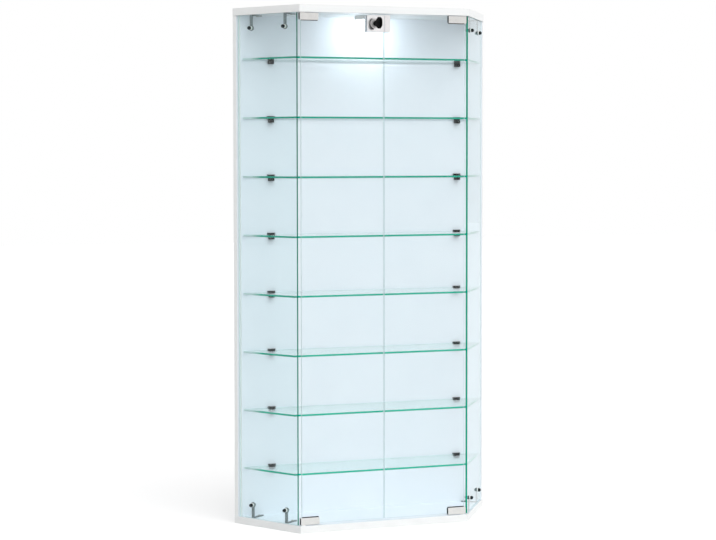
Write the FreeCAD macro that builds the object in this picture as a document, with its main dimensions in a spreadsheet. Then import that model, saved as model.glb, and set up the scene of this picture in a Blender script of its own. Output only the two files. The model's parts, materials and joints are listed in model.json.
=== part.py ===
import FreeCAD, Part
import collections
import math
import os
import Sketcher

# Glass display cabinet with a flat back, canted glass sides and two glass doors.
# Millimetres. X runs to the right, Y to the back, Z up. The origin is the middle of the base's underside.

os.makedirs("parts", exist_ok=True)
doc = FreeCAD.newDocument("display_cabinet")
sheet = doc.addObject("Spreadsheet::Sheet", "Sizes")
nodes = {}
row_count = 0


class Size:
    # A number together with the sheet expression that gives it.
    def __init__(self, text, value):
        self.text = text
        self.value = value

    def __add__(self, other):
        other = size(other)
        return Size(f"({self.text} + {other.text})", self.value + other.value)

    def __sub__(self, other):
        other = size(other)
        return Size(f"({self.text} - {other.text})", self.value - other.value)

    def __mul__(self, other):
        other = size(other)
        return Size(f"({self.text} * {other.text})", self.value * other.value)

    def __truediv__(self, other):
        other = size(other)
        return Size(f"({self.text} / {other.text})", self.value / other.value)

    def __neg__(self):
        return Size(f"(-{self.text})", -self.value)


def size(item):
    return item if isinstance(item, Size) else Size(str(item), float(item))


def cell(name, value):
    # Writes one driving dimension into the sheet under its own name.
    global row_count
    row_count = row_count + 1
    sheet.set(f"A{row_count}", name)
    sheet.set(f"B{row_count}", str(value))
    sheet.setAlias(f"B{row_count}", name)
    return Size(f"Sizes.{name}", float(value))


def root(item):
    return Size(f"sqrt({item.text})", math.sqrt(item.value))


# Carcase boards
height = cell("height", 1140)
rear_width = cell("rear_width", 600)
front_width = cell("front_width", 390)
depth = cell("depth", 160)
board = cell("board_thickness", 16)
board_corner = cell("board_corner_radius", 1)
back = cell("back_thickness", 12)
back_inset = cell("back_inset", 1.5)

# Glass panes and shelves
glass = cell("glass_thickness", 4)
pane_inset = cell("pane_inset", 3)
pane_start = cell("pane_start", 11)
pane_rebate = cell("pane_rebate", 4)
rebate_gap = cell("rebate_gap", 0.3)
pane_rear_gap = cell("pane_rear_gap", 0.5)
pane_end_gap = cell("pane_end_gap", 0.3)
shelf_count = cell("shelf_count", 8)
lowest_room = cell("lowest_room", 107)
top_room = cell("top_room", 94)
shelf_setback = cell("shelf_setback", 22)
shelf_side_gap = cell("shelf_side_gap", 1)
shelf_rear_gap = cell("shelf_rear_gap", 2.5)
shelf_corner = cell("shelf_corner_radius", 2)

# Clearances: radial for turning and seated pieces, all round for loose ones, and past a face for every cut
running_fit = cell("running_fit", 0.05)
seat_fit = cell("seat_fit", 0.05)
loose_fit = cell("loose_fit", 0.3)
overrun = cell("overrun", 1)
hole_end = cell("hole_end", 1)
edge_match = cell("edge_match", 0.05)

# Doors
door_setback = cell("door_setback", 8)
door_side_inset = cell("door_side_inset", 2.5)
door_end_gap = cell("door_end_gap", 3)
meeting_gap = cell("meeting_gap", 2)

# Pivot hinges
hinge_length = cell("hinge_length", 42)
hinge_height = cell("hinge_height", 15.5)
hinge_wall = cell("hinge_wall", 2.5)
hinge_bridge = cell("hinge_bridge", 1.8)
hinge_liner = cell("hinge_liner", 0.5)
hinge_corner = cell("hinge_corner_radius", 2)
liner_inset = cell("liner_inset", 1)
liner_proud = cell("liner_proud", 1.2)
pivot_inset = cell("pivot_inset", 7)
pivot_pin = cell("pivot_pin_diameter", 5)
pin_reach = cell("pin_reach", 9)
pin_round = cell("pin_end_radius", 1)
bush_width = cell("bush_diameter", 9)
bush_flange_width = cell("bush_flange_diameter", 12)
bush_flange = cell("bush_flange", 1.1)
bush_depth = cell("bush_depth", 10)
set_screw = cell("set_screw_diameter", 4)
set_screw_socket = cell("set_screw_socket", 2)
socket_depth = cell("socket_depth", 1.2)
near_screw_share = cell("near_screw_share", 0.36)
far_screw_share = cell("far_screw_share", 0.78)

# Brackets that hold the side panes
bracket_width = cell("bracket_width", 7)
bracket_strip = cell("bracket_strip", 2)
bracket_leg = cell("bracket_leg", 34)
bracket_foot = cell("bracket_foot", 35)
bracket_bend = cell("bracket_bend_radius", 1.5)
bracket_round = cell("bracket_end_radius", 3.4)
bracket_eye = cell("bracket_eye_diameter", 12)
bracket_bolt_drop = cell("bracket_bolt_drop", 29)
bracket_clear = cell("bracket_clearance", 3)
bracket_screw_reach = cell("bracket_screw_reach", 22)
washer = cell("washer_thickness", 1)
washer_width = cell("washer_diameter", 8.5)
pane_bolt = cell("pane_bolt_diameter", 5)
bolt_head = cell("bolt_head_diameter", 8)
bolt_head_height = cell("bolt_head_height", 6.5)
bolt_dome = cell("bolt_dome_radius", 3.9)
bolt_tail = cell("bolt_tail", 1)
pane_hole = cell("pane_hole_diameter", 6.5)
nut_across = cell("nut_across_flats", 8)
nut_height = cell("nut_height", 3.5)
wood_screw = cell("wood_screw_diameter", 3.5)
wood_screw_head = cell("wood_screw_head_diameter", 6.6)
wood_screw_head_height = cell("wood_screw_head_height", 1.8)
wood_screw_bite = cell("wood_screw_bite", 11)

# Clamps that hold the shelves on the back board
clamp_inset = cell("clamp_inset", 79)
clamp_shift = cell("clamp_shift", 6)
clamp_width = cell("clamp_width", 13)
clamp_reach = cell("clamp_reach", 12)
clamp_jaw = cell("clamp_jaw", 7)
clamp_wall = cell("clamp_wall", 2)
clamp_lip = cell("clamp_lip", 2.4)
clamp_lip_width = cell("clamp_lip_width", 18)
clamp_lip_reach = cell("clamp_lip_reach", 10)
clamp_pad = cell("clamp_pad", 0.4)
clamp_pad_width = cell("clamp_pad_diameter", 6)
clamp_screw = cell("clamp_screw_diameter", 3)
clamp_screw_head = cell("clamp_screw_head_diameter", 5)
clamp_screw_head_height = cell("clamp_screw_head_height", 1.5)
clamp_screw_bite = cell("clamp_screw_bite", 8)
clamp_screw_offset = cell("clamp_screw_offset", 3)
clamp_set_back = cell("clamp_set_back", 5.5)
set_screw_recess = cell("set_screw_recess", 0.5)

# Lamp under the top board
lamp_width = cell("lamp_diameter", 76)
lamp_height = cell("lamp_height", 8.5)
lamp_wall = cell("lamp_wall", 2)
lamp_round = cell("lamp_edge_radius", 1.2)
lamp_back = cell("lamp_back", 8)
lens = cell("lens_thickness", 2)
lens_recess = cell("lens_recess", 0.4)
led_board = cell("led_board_thickness", 1.6)
led_board_width = cell("led_board_diameter", 42)
led_chip = cell("led_chip_width", 4)
led_chip_height = cell("led_chip_height", 0.8)
led_reach = cell("led_reach", 13)
led_count = cell("led_count", 6)
lamp_screw_reach = cell("lamp_screw_reach", 27)
cable_hole = cell("cable_hole_diameter", 8)

# Screws and dowels that join the boards, and the hanging slots in the back
carcase_screw_inset = cell("carcase_screw_inset", 100)
dowel_share = cell("dowel_share", 0.5)
shoulder = cell("shoulder_diameter", 5.5)
thread = cell("thread_diameter", 4)
screw_head = cell("screw_head_diameter", 8)
screw_head_height = cell("screw_head_height", 4)
screw_reach = cell("screw_reach", 34)
counterbore = cell("counterbore_diameter", 9)
screw_cap = cell("screw_cap_height", 1)
dowel = cell("dowel_diameter", 6)
dowel_in_board = cell("dowel_in_board", 9)
dowel_in_back = cell("dowel_in_back", 21)
hanger_inset = cell("hanger_inset", 100)
hanger_drop = cell("hanger_drop", 60)
hanger_hole = cell("hanger_hole_diameter", 9)
hanger_neck = cell("hanger_neck_width", 4.5)
hanger_slide = cell("hanger_slide", 12)
hanger_lip = cell("hanger_lip", 3)
hanger_depth = cell("hanger_depth", 8)

# Lock on the left door and its strike on the right door
lock_width = cell("lock_width", 38.5)
lock_height = cell("lock_height", 36.5)
lock_edge = cell("lock_edge", 0.5)
lock_plate = cell("lock_plate", 3)
lock_corner = cell("lock_corner_radius", 2)
lock_gasket = cell("lock_gasket", 0.5)
plate_gap = cell("plate_gap", 0.6)
barrel = cell("barrel_diameter", 18)
barrel_flange_width = cell("barrel_flange_diameter", 22)
barrel_flange = cell("barrel_flange", 1.5)
barrel_tail = cell("barrel_tail", 1)
plug = cell("plug_diameter", 12)
plug_proud = cell("plug_proud", 0.2)
drive_gap = cell("drive_gap", 0.2)
drive_disc = cell("drive_disc", 1.4)
drive_disc_width = cell("drive_disc_diameter", 17)
drive_pin = cell("drive_pin_diameter", 3)
crank = cell("crank_offset", 4)
case_wall = cell("case_wall", 1.5)
case_post = cell("case_post", 7)
case_lid = cell("case_lid", 1.2)
lid_gap = cell("lid_gap", 0.6)
ring_nut_width = cell("ring_nut_across_flats", 22)
ring_nut = cell("ring_nut", 3)
latch = cell("latch_thickness", 2.6)
latch_gap = cell("latch_gap", 0.4)
latch_low = cell("latch_low", 9.5)
latch_high = cell("latch_high", 4.5)
latch_tail = cell("latch_tail", 14)
lid_screw = cell("lid_screw_diameter", 2.5)
lid_screw_head = cell("lid_screw_head_diameter", 4.4)
lid_screw_head_height = cell("lid_screw_head_height", 1.4)
lid_screw_inset = cell("lid_screw_inset", 3.7)
lid_screw_bite = cell("lid_screw_bite", 6)
strike_width = cell("strike_width", 12)
strike_pocket = cell("strike_pocket", 9)
strike_clearance = cell("strike_clearance", 0.9)
strike_screw = cell("strike_screw_diameter", 3)
strike_screw_head = cell("strike_screw_head_diameter", 5.6)
strike_screw_head_height = cell("strike_screw_head_height", 2)
strike_screw_spread = cell("strike_screw_spread", 14.5)
strike_screw_bite = cell("strike_screw_bite", 2.2)
glass_hole_clearance = cell("glass_hole_clearance", 0.5)

# Key
keyway_width = cell("keyway_width", 2.4)
keyway_height = cell("keyway_height", 7)
keyway_depth = cell("keyway_depth", 14)
key_thickness = cell("key_thickness", 2)
key_blade_height = cell("key_blade_height", 6.4)
key_in = cell("key_in", 13)
key_neck = cell("key_neck", 2)
key_tang = cell("key_tang", 7)
bow_length = cell("bow_length", 32)
bow_shoulder = cell("bow_shoulder", 20)
bow_root_height = cell("bow_root_height", 8)
bow_height = cell("bow_height", 26)
bow_end_height = cell("bow_end_height", 14)
bow_thickness = cell("bow_thickness", 6.5)
bow_corner = cell("bow_corner_radius", 5)
bow_edge = cell("bow_edge_radius", 0.8)
bow_hole = cell("bow_hole_diameter", 5)
bow_hole_reach = cell("bow_hole_reach", 23)

# Positions that follow from the sizes
front = -depth / 2
rear = depth / 2
back_face = rear - back
middle = height / 2
inner_height = height - board * 2
ceiling = height - board
lowest_shelf = board + lowest_room
shelf_pitch = (inner_height - lowest_room - top_room - glass) / (shelf_count - 1)
clamp_spread = rear_width / 2 - clamp_inset
carcase_screw_spread = rear_width / 2 - carcase_screw_inset
dowel_spread = carcase_screw_spread * dowel_share
hanger_spread = rear_width / 2 - hanger_inset
spread = (rear_width - front_width) / 2
side = root(depth * depth + spread * spread)
lean = spread / depth
ahead_share = depth / side
aside_share = spread / side
pane_depth = pane_inset + glass
pane_stop = (depth - back + pane_rebate - pane_rear_gap - pane_depth * aside_share) / ahead_share
pane_length = pane_stop - pane_start
pane_middle = (pane_stop + pane_start) / 2
pane_x = -front_width / 2 - aside_share * pane_middle + ahead_share * (pane_inset + glass / 2)
pane_y = front + ahead_share * pane_middle + aside_share * (pane_inset + glass / 2)
bracket_room = pane_rebate - pane_rear_gap + aside_share * (washer + bracket_foot) + bracket_clear
bracket_x = pane_length / 2 - bracket_width / 2 - bracket_room / ahead_share
door_width = front_width / 2 - door_side_inset - meeting_gap / 2
door_bottom = board + door_end_gap
door_top = ceiling - door_end_gap
pivot_x = front_width / 2 - door_side_inset - pivot_inset
pivot_y = front + door_setback + glass / 2
free_edge = door_width - pivot_inset
carcase_y = rear - back / 2

axis_x = FreeCAD.Vector(1, 0, 0)
axis_y = FreeCAD.Vector(0, 1, 0)
axis_z = FreeCAD.Vector(0, 0, 1)
Round = collections.namedtuple("Round", "x y diameter")
doc.recompute()


def half_width(y):
    # Half the width of the boards at a given depth.
    return front_width / 2 + lean * (y - front)


def new_body(label):
    body = doc.addObject("PartDesign::Body", label)
    body.Label = label
    return body


def fix_point(sketch, geometry, vertex, x, y):
    # Ties one sketch point to the sketch's origin by two driven distances.
    for kind, item in (("DistanceX", size(x)), ("DistanceY", size(y))):
        number = sketch.addConstraint(Sketcher.Constraint(kind, -1, 1, geometry, vertex, item.value))
        sketch.setExpression(f"Constraints[{number}]", item.text)


def draw_polygon(sketch, points):
    first = sketch.GeometryCount
    corners = [FreeCAD.Vector(size(x).value, size(y).value, 0) for x, y in points]
    count = len(corners)
    for number in range(count):
        sketch.addGeometry(Part.LineSegment(corners[number], corners[(number + 1) % count]), False)
    for number in range(count):
        after = first + (number + 1) % count
        sketch.addConstraint(Sketcher.Constraint("Coincident", first + number, 2, after, 1))
    for number, (x, y) in enumerate(points):
        fix_point(sketch, first + number, 1, x, y)


def draw_circle(sketch, ring):
    centre = FreeCAD.Vector(size(ring.x).value, size(ring.y).value, 0)
    shape = Part.Circle(centre, axis_z, ring.diameter.value / 2)
    number = sketch.addGeometry(shape, False)
    fix_point(sketch, number, 3, ring.x, ring.y)
    wide = sketch.addConstraint(Sketcher.Constraint("Diameter", number, ring.diameter.value))
    sketch.setExpression(f"Constraints[{wide}]", ring.diameter.text)


def draw(body, plane, at, loops):
    # A sketch on one of the body's origin planes, moved along that plane's axis to the height given.
    sketch = body.newObject("Sketcher::SketchObject", "outline")
    support = [item for item in body.Origin.OriginFeatures if item.Role == plane + "_Plane"]
    sketch.AttachmentSupport = [(support[0], "")]
    sketch.MapMode = "FlatFace"
    offset = -size(at) if plane == "XZ" else size(at)
    sketch.setExpression("AttachmentOffset.Base.z", offset.text)
    for loop in loops:
        if isinstance(loop, Round):
            draw_circle(sketch, loop)
        else:
            draw_polygon(sketch, loop)
    return sketch


def pad(body, plane, at, loops, length, toward):
    # Grows the drawn loops along the plane's axis, toward its plus side with 1 and its minus side with -1.
    feature = body.newObject("PartDesign::Pad", "pad")
    feature.Profile = draw(body, plane, at, loops)
    feature.setExpression("Length", length.text)
    feature.Reversed = toward > 0 if plane == "XZ" else toward < 0
    return feature


def cut(body, plane, at, loops, length, toward):
    # Takes the drawn loops away along the plane's axis.
    feature = body.newObject("PartDesign::Pocket", "cut")
    feature.Profile = draw(body, plane, at, loops)
    feature.setExpression("Length", length.text)
    feature.Reversed = toward < 0 if plane == "XZ" else toward > 0
    return feature


def round_edges(body, radius, wanted):
    doc.recompute()
    base = body.Tip
    names = [f"Edge{number}" for number, edge in enumerate(base.Shape.Edges, 1) if wanted(edge)]
    feature = body.newObject("PartDesign::Fillet", "rounding")
    feature.Base = (base, names)
    feature.setExpression("Radius", radius.text)


def runs_along(edge, axis):
    if not isinstance(edge.Curve, Part.Line):
        return False
    return edge.Curve.Direction.cross(axis).Length < edge_match.value


def stack(body, originals):
    # Repeats the features once per shelf, a pitch apart.
    feature = body.newObject("PartDesign::LinearPattern", "one_per_shelf")
    feature.Originals = originals
    upward = [item for item in body.Origin.OriginFeatures if item.Role == "Z_Axis"]
    feature.Direction = (upward[0], [""])
    feature.setExpression("Length", (shelf_pitch * (shelf_count - 1)).text)
    feature.setExpression("Occurrences", shelf_count.text)
    body.Tip = feature


def place(item, x, y, z):
    for axis, where in (("x", x), ("y", y), ("z", z)):
        item.setExpression(f"Placement.Base.{axis}", size(where).text)


def place_on_pane(item):
    # The left pane's own frame: X along the pane to the back, Y out of the cabinet, origin at its middle.
    place(item, pane_x, pane_y, middle)
    item.Placement.Rotation = FreeCAD.Rotation(axis_z, 0)
    item.setExpression("Placement.Rotation.Angle", f"90 deg + atan({lean.text})")


def mirrored(label, source, axis, plane=0):
    # A twin beyond the plane that stands across the axis at the given place.
    twin = doc.addObject("Part::Mirroring", label)
    twin.Label = label
    twin.Source = source
    twin.Normal = axis
    letter = "z" if axis.z else "x"
    twin.setExpression(f"Base.{letter}", size(plane).text)
    return twin


def across(label, source, plane=0):
    # The same piece on the other side of the cabinet.
    return mirrored(label, source, axis_x, plane)


def upended(label, source):
    # The same piece at the other end of the cabinet's height.
    return mirrored(label, source, axis_z, middle)


def group(label, members):
    compound = doc.addObject("Part::Compound", label)
    compound.Label = label
    compound.Links = members
    return compound


def four_corners(label, source):
    # A piece at each corner of the left pane, from one drawn in the pane's frame.
    along = mirrored(label + "_front", source, axis_x)
    low = mirrored(label + "_low", source, axis_z)
    low_front = mirrored(label + "_low_front", along, axis_z)
    compound = group(label, [source, along, low, low_front])
    place_on_pane(compound)
    return compound


def node(item):
    nodes[item.Label] = item
    return item


def box_loop(left, low, right, high):
    return [(left, low), (right, low), (right, high), (left, high)]


def hexagon(x, y, across_flats):
    # Six corners round a middle, with flats above and below.
    corner = across_flats / root(size(3))
    rise = across_flats / 2
    half = corner / 2
    return [
        (x + corner, y),
        (x + half, y + rise),
        (x - half, y + rise),
        (x - corner, y),
        (x - half, y - rise),
        (x + half, y - rise),
    ]


# Top and base boards, drawn with the inner face at zero and the outer face above it
foot_screw_y = -(glass / 2 + washer + bracket_screw_reach)
foot_screws = []
for way in (-1, 1):
    screw_x = pane_x - aside_share * bracket_x * way - ahead_share * foot_screw_y
    screw_y = pane_y + ahead_share * bracket_x * way - aside_share * foot_screw_y
    foot_screws.append((screw_x, screw_y))


def trapezoid_board(label):
    body = new_body(label)
    outline = [
        (-front_width / 2, front),
        (front_width / 2, front),
        (rear_width / 2, rear),
        (-rear_width / 2, rear),
    ]
    pad(body, "XY", 0, [outline], board, 1)
    round_edges(body, board_corner, lambda edge: runs_along(edge, axis_z))
    bush_hole = bush_width + seat_fit * 2
    bushes = [Round(pivot_x * way, pivot_y, bush_hole) for way in (-1, 1)]
    cut(body, "XY", 0, bushes, bush_depth + hole_end, 1)
    screw_hole = wood_screw + seat_fit * 2
    pilots = [Round(x * way, y, screw_hole) for x, y in foot_screws for way in (-1, 1)]
    cut(body, "XY", 0, pilots, wood_screw_bite - bracket_strip + hole_end, 1)
    pegs = [Round(dowel_spread * way, carcase_y, dowel + seat_fit * 2) for way in (-1, 1)]
    cut(body, "XY", 0, pegs, dowel_in_board + hole_end, 1)
    shank_hole = shoulder + seat_fit * 2
    shanks = [Round(carcase_screw_spread * way, carcase_y, shank_hole) for way in (-1, 0, 1)]
    cut(body, "XY", 0, shanks, board, 1)
    heads = [Round(carcase_screw_spread * way, carcase_y, counterbore) for way in (-1, 0, 1)]
    cut(body, "XY", board, heads, screw_head_height + screw_cap, -1)
    return body


top_board = trapezoid_board("top_board")
lamp_pilots = [Round(lamp_screw_reach * way, lamp_back, wood_screw + seat_fit * 2) for way in (-1, 1)]
cut(top_board, "XY", 0, lamp_pilots, wood_screw_bite - lamp_wall + hole_end, 1)
cut(top_board, "XY", 0, [Round(0, lamp_back, cable_hole)], board, 1)
place(top_board, 0, 0, ceiling)
node(top_board)

base_board = trapezoid_board("base_board")
base_board.Placement.Rotation = FreeCAD.Rotation(axis_y, 180)
place(base_board, 0, 0, board)
node(base_board)

# Back board between them, its long edges cut along the slope of the sides and rebated for the side panes
rebate_wall = (pane_depth + rebate_gap) / ahead_share
rebate_face = back_face + pane_rebate
back_front_half = half_width(back_face) - rebate_wall
rebate_half = half_width(rebate_face) - rebate_wall
ledge_half = half_width(rebate_face) - back_inset
back_rear_half = rear_width / 2 - back_inset
back_board = new_body("back_board")
back_outline = [
    (-back_front_half, 0),
    (back_front_half, 0),
    (rebate_half, pane_rebate),
    (ledge_half, pane_rebate),
    (back_rear_half, back),
    (-back_rear_half, back),
    (-ledge_half, pane_rebate),
    (-rebate_half, pane_rebate),
]
pad(back_board, "XY", 0, [back_outline], inner_height, 1)
for end, way in ((0, 1), (inner_height, -1)):
    threads = [Round(carcase_screw_spread * turn, back / 2, thread + seat_fit * 2) for turn in (-1, 0, 1)]
    cut(back_board, "XY", end, threads, screw_reach + hole_end, way)
    pegs = [Round(dowel_spread * turn, back / 2, dowel + seat_fit * 2) for turn in (-1, 1)]
    cut(back_board, "XY", end, pegs, dowel_in_back + hole_end, way)
hanger_z = inner_height - hanger_drop
hangers = [Round(hanger_spread * way, hanger_z, hanger_hole) for way in (-1, 1)]
cut(back_board, "XZ", back, hangers, hanger_depth, -1)


def hanger_slots(width):
    # Upright slots above both hanging holes.
    slots = []
    for way in (-1, 1):
        x = hanger_spread * way
        slots.append(box_loop(x - width / 2, hanger_z, x + width / 2, hanger_z + hanger_slide))
    return slots


cut(back_board, "XZ", back, hanger_slots(hanger_neck), hanger_depth, -1)
cut(back_board, "XZ", back - hanger_lip, hanger_slots(hanger_hole), hanger_depth - hanger_lip, -1)
clamp_screw_z = lowest_shelf - board - clamp_pad - clamp_jaw / 2
pilot_x = clamp_spread + clamp_screw_offset
pilots = [Round(clamp_shift + pilot_x * way, clamp_screw_z, clamp_screw + seat_fit * 2) for way in (-1, 1)]
clamp_pilots = cut(back_board, "XZ", 0, pilots, clamp_screw_bite + hole_end, 1)
stack(back_board, [clamp_pilots])
place(back_board, 0, back_face, board)
node(back_board)

# Shoulder screws with caps, and dowels, through the boards into the ends of the back board
shoulder_screw = new_body("shoulder_screws_top")
ring_places = [(carcase_screw_spread * way, carcase_y) for way in (-1, 0, 1)]
shoulder_length = board - screw_head_height - screw_cap
pad(shoulder_screw, "XY", 0, [Round(x, y, shoulder) for x, y in ring_places], shoulder_length, 1)
head_loops = [Round(x, y, screw_head) for x, y in ring_places]
pad(shoulder_screw, "XY", shoulder_length, head_loops, screw_head_height, 1)
pad(shoulder_screw, "XY", 0, [Round(x, y, thread) for x, y in ring_places], screw_reach, -1)
place(shoulder_screw, 0, 0, ceiling)
node(group("carcase_screws", [shoulder_screw, upended("shoulder_screws_base", shoulder_screw)]))

caps_top = new_body("screw_caps_top")
cap_width = counterbore - seat_fit * 2
pad(caps_top, "XY", board - screw_cap, [Round(x, y, cap_width) for x, y in ring_places], screw_cap, 1)
place(caps_top, 0, 0, ceiling)
node(group("screw_caps", [caps_top, upended("screw_caps_base", caps_top)]))

dowels_top = new_body("dowels_top")
pegs = [Round(dowel_spread * way, carcase_y, dowel) for way in (-1, 1)]
pad(dowels_top, "XY", -dowel_in_back, pegs, dowel_in_back + dowel_in_board, 1)
place(dowels_top, 0, 0, ceiling)
node(group("carcase_dowels", [dowels_top, upended("dowels_base", dowels_top)]))

# Side panes, each bolted through four holes
bolt_z = inner_height / 2 - bracket_bolt_drop
left_side_pane = new_body("left_side_pane")
pane_rise = inner_height / 2 - pane_end_gap
pane_loop = box_loop(-pane_length / 2, -pane_rise, pane_length / 2, pane_rise)
pane_holes = [Round(bracket_x * way, bolt_z * up, pane_hole) for way in (-1, 1) for up in (-1, 1)]
pad(left_side_pane, "XZ", glass / 2, [pane_loop] + pane_holes, glass, -1)
place_on_pane(left_side_pane)
node(left_side_pane)
node(across("right_side_pane", left_side_pane))

# Angle brackets inside the panes, with bolts, washers, nuts and wood screws
inside_face = -(glass / 2 + washer)
ceiling_line = inner_height / 2
bracket = new_body("pane_bracket")
angle_loop = [
    (inside_face, ceiling_line),
    (inside_face, ceiling_line - bracket_leg),
    (inside_face - bracket_strip, ceiling_line - bracket_leg),
    (inside_face - bracket_strip, ceiling_line - bracket_strip),
    (inside_face - bracket_foot, ceiling_line - bracket_strip),
    (inside_face - bracket_foot, ceiling_line),
]
pad(bracket, "YZ", bracket_x - bracket_width / 2, [angle_loop], bracket_width, 1)
leg_end = (ceiling_line - bracket_leg).value
foot_end = (inside_face - bracket_foot).value


def at_strip_end(edge):
    centre = edge.CenterOfMass
    at_leg = runs_along(edge, axis_y) and abs(centre.z - leg_end) < edge_match.value
    at_foot = runs_along(edge, axis_z) and abs(centre.y - foot_end) < edge_match.value
    return at_leg or at_foot


def at_bend(edge):
    centre = edge.CenterOfMass
    corner = abs(centre.y - inside_face.value) + abs(centre.z - ceiling_line.value)
    return runs_along(edge, axis_x) and corner < edge_match.value


round_edges(bracket, bracket_round, at_strip_end)
round_edges(bracket, bracket_bend, at_bend)
pad(bracket, "XZ", inside_face, [Round(bracket_x, bolt_z, bracket_eye)], bracket_strip, -1)
leg_hole = Round(bracket_x, bolt_z, pane_bolt + loose_fit * 2)
cut(bracket, "XZ", inside_face - bracket_strip - overrun, [leg_hole], bracket_strip + overrun * 2, 1)
foot_hole = Round(bracket_x, foot_screw_y, wood_screw + loose_fit * 2)
cut(bracket, "XY", ceiling_line - bracket_strip - overrun, [foot_hole], bracket_strip + overrun * 2, 1)
brackets_left = node(four_corners("pane_brackets_left", bracket))
node(across("pane_brackets_right", brackets_left))

bolt = new_body("pane_bolt")
head_seat = glass / 2 + washer
pad(bolt, "XZ", head_seat, [Round(bracket_x, bolt_z, bolt_head)], bolt_head_height, 1)
head_front = (head_seat + bolt_head_height).value
round_edges(bolt, bolt_dome, lambda edge: abs(edge.CenterOfMass.y - head_front) < edge_match.value)
bolt_length = head_seat - inside_face + bracket_strip + nut_height + bolt_tail
pad(bolt, "XZ", head_seat, [Round(bracket_x, bolt_z, pane_bolt)], bolt_length, -1)
bolts_left = four_corners("pane_bolts_left", bolt)
node(group("pane_bolts", [bolts_left, across("pane_bolts_right", bolts_left)]))

rings = new_body("pane_washer_pair")
ring_loops = [
    Round(bracket_x, bolt_z, washer_width),
    Round(bracket_x, bolt_z, pane_bolt + seat_fit * 2),
]
pad(rings, "XZ", glass / 2, ring_loops, washer, 1)
pad(rings, "XZ", -glass / 2, ring_loops, washer, -1)
washers_left = four_corners("pane_washers_left", rings)
node(group("pane_washers", [washers_left, across("pane_washers_right", washers_left)]))

nut = new_body("pane_nut")
nut_loops = [hexagon(bracket_x, bolt_z, nut_across), Round(bracket_x, bolt_z, pane_bolt + seat_fit * 2)]
pad(nut, "XZ", inside_face - bracket_strip, nut_loops, nut_height, -1)
nuts_left = four_corners("pane_nuts_left", nut)
node(group("pane_nuts", [nuts_left, across("pane_nuts_right", nuts_left)]))

foot_screw = new_body("bracket_screw")
head_top = ceiling_line - bracket_strip
foot_head = Round(bracket_x, foot_screw_y, wood_screw_head)
pad(foot_screw, "XY", head_top, [foot_head], wood_screw_head_height, -1)
pad(foot_screw, "XY", head_top, [Round(bracket_x, foot_screw_y, wood_screw)], wood_screw_bite, 1)
foot_screws_left = four_corners("bracket_screws_left", foot_screw)
node(group("bracket_screws", [foot_screws_left, across("bracket_screws_right", foot_screws_left)]))

# Shelves, each a trapezoid that stands a little clear of the panes
side_room = (pane_inset + glass + shelf_side_gap) / ahead_share
shelf_front = front + shelf_setback
shelf_rear = back_face - shelf_rear_gap
shelf_front_half = half_width(shelf_front) - side_room
shelf_rear_half = half_width(shelf_rear) - side_room
for number in range(int(shelf_count.value)):
    shelf = new_body(f"glass_shelf_{number + 1}")
    shelf_loop = [
        (-shelf_front_half, shelf_front),
        (shelf_front_half, shelf_front),
        (shelf_rear_half, shelf_rear),
        (-shelf_rear_half, shelf_rear),
    ]
    pad(shelf, "XY", 0, [shelf_loop], glass, 1)
    round_edges(shelf, shelf_corner, lambda edge: runs_along(edge, axis_z))
    place(shelf, 0, 0, lowest_shelf + shelf_pitch * number)
    node(shelf)

# Shelf clamps on the back board: a half-round jaw with a pad below the glass and a wider lip above it.
# The left and right rows are alike about a plane a little beside the middle.
clamp_half = clamp_width / 2
lip_half = clamp_lip_width / 2
jaw_nose = clamp_half - clamp_reach
lip_nose = lip_half - clamp_lip_reach
jaw_top = -clamp_pad
jaw_low = -clamp_pad - clamp_jaw
lip_low = glass + clamp_pad
lip_top = lip_low + clamp_lip
wall_screw_z = jaw_low + clamp_jaw / 2
set_screw_y = -clamp_reach + clamp_set_back
clamp = new_body("shelf_clamps_left")
foot_loop = box_loop(-clamp_half, -clamp_wall, clamp_half, 0)
jaw_loop = box_loop(-clamp_half, jaw_nose, clamp_half, 0)
lip_loop = box_loop(-lip_half, lip_nose, lip_half, 0)
rear_loop = box_loop(-lip_half - overrun, jaw_low - overrun, lip_half + overrun, lip_top + overrun)
shank_hole = Round(-clamp_screw_offset, wall_screw_z, clamp_screw + loose_fit * 2)
head_hole = Round(-clamp_screw_offset, wall_screw_z, clamp_screw_head + loose_fit)
set_hole = Round(clamp_screw_offset, set_screw_y, set_screw + seat_fit * 2)
clamp_features = [
    pad(clamp, "XY", jaw_low, [foot_loop], lip_top - jaw_low, 1),
    pad(clamp, "XY", jaw_low, [jaw_loop], clamp_jaw, 1),
    pad(clamp, "XY", jaw_low, [Round(0, jaw_nose, clamp_width)], clamp_jaw, 1),
    pad(clamp, "XY", lip_low, [lip_loop], clamp_lip, 1),
    pad(clamp, "XY", lip_low, [Round(0, lip_nose, clamp_lip_width)], clamp_lip, 1),
    cut(clamp, "XZ", 0, [rear_loop], clamp_lip_width, 1),
    cut(clamp, "XZ", -clamp_reach, [shank_hole], clamp_reach, 1),
    cut(clamp, "XZ", -clamp_reach, [head_hole], clamp_reach - clamp_wall, 1),
    cut(clamp, "XY", jaw_low, [set_hole], clamp_jaw, 1),
]
stack(clamp, clamp_features)
left_row = clamp_shift - clamp_spread
place(clamp, left_row, back_face, lowest_shelf)
node(clamp)
node(across("shelf_clamps_right", clamp, clamp_shift))

pads_left = new_body("clamp_pads_left")
pad_disc = Round(clamp_screw_offset, set_screw_y, clamp_pad_width)
sheet_pad = pad(pads_left, "XY", 0, [pad_disc], clamp_pad, -1)
stack(pads_left, [sheet_pad])
place(pads_left, left_row, back_face, lowest_shelf)
pads_right = across("clamp_pads_right", pads_left, clamp_shift)
node(group("clamp_pads", [pads_left, pads_right]))

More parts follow.
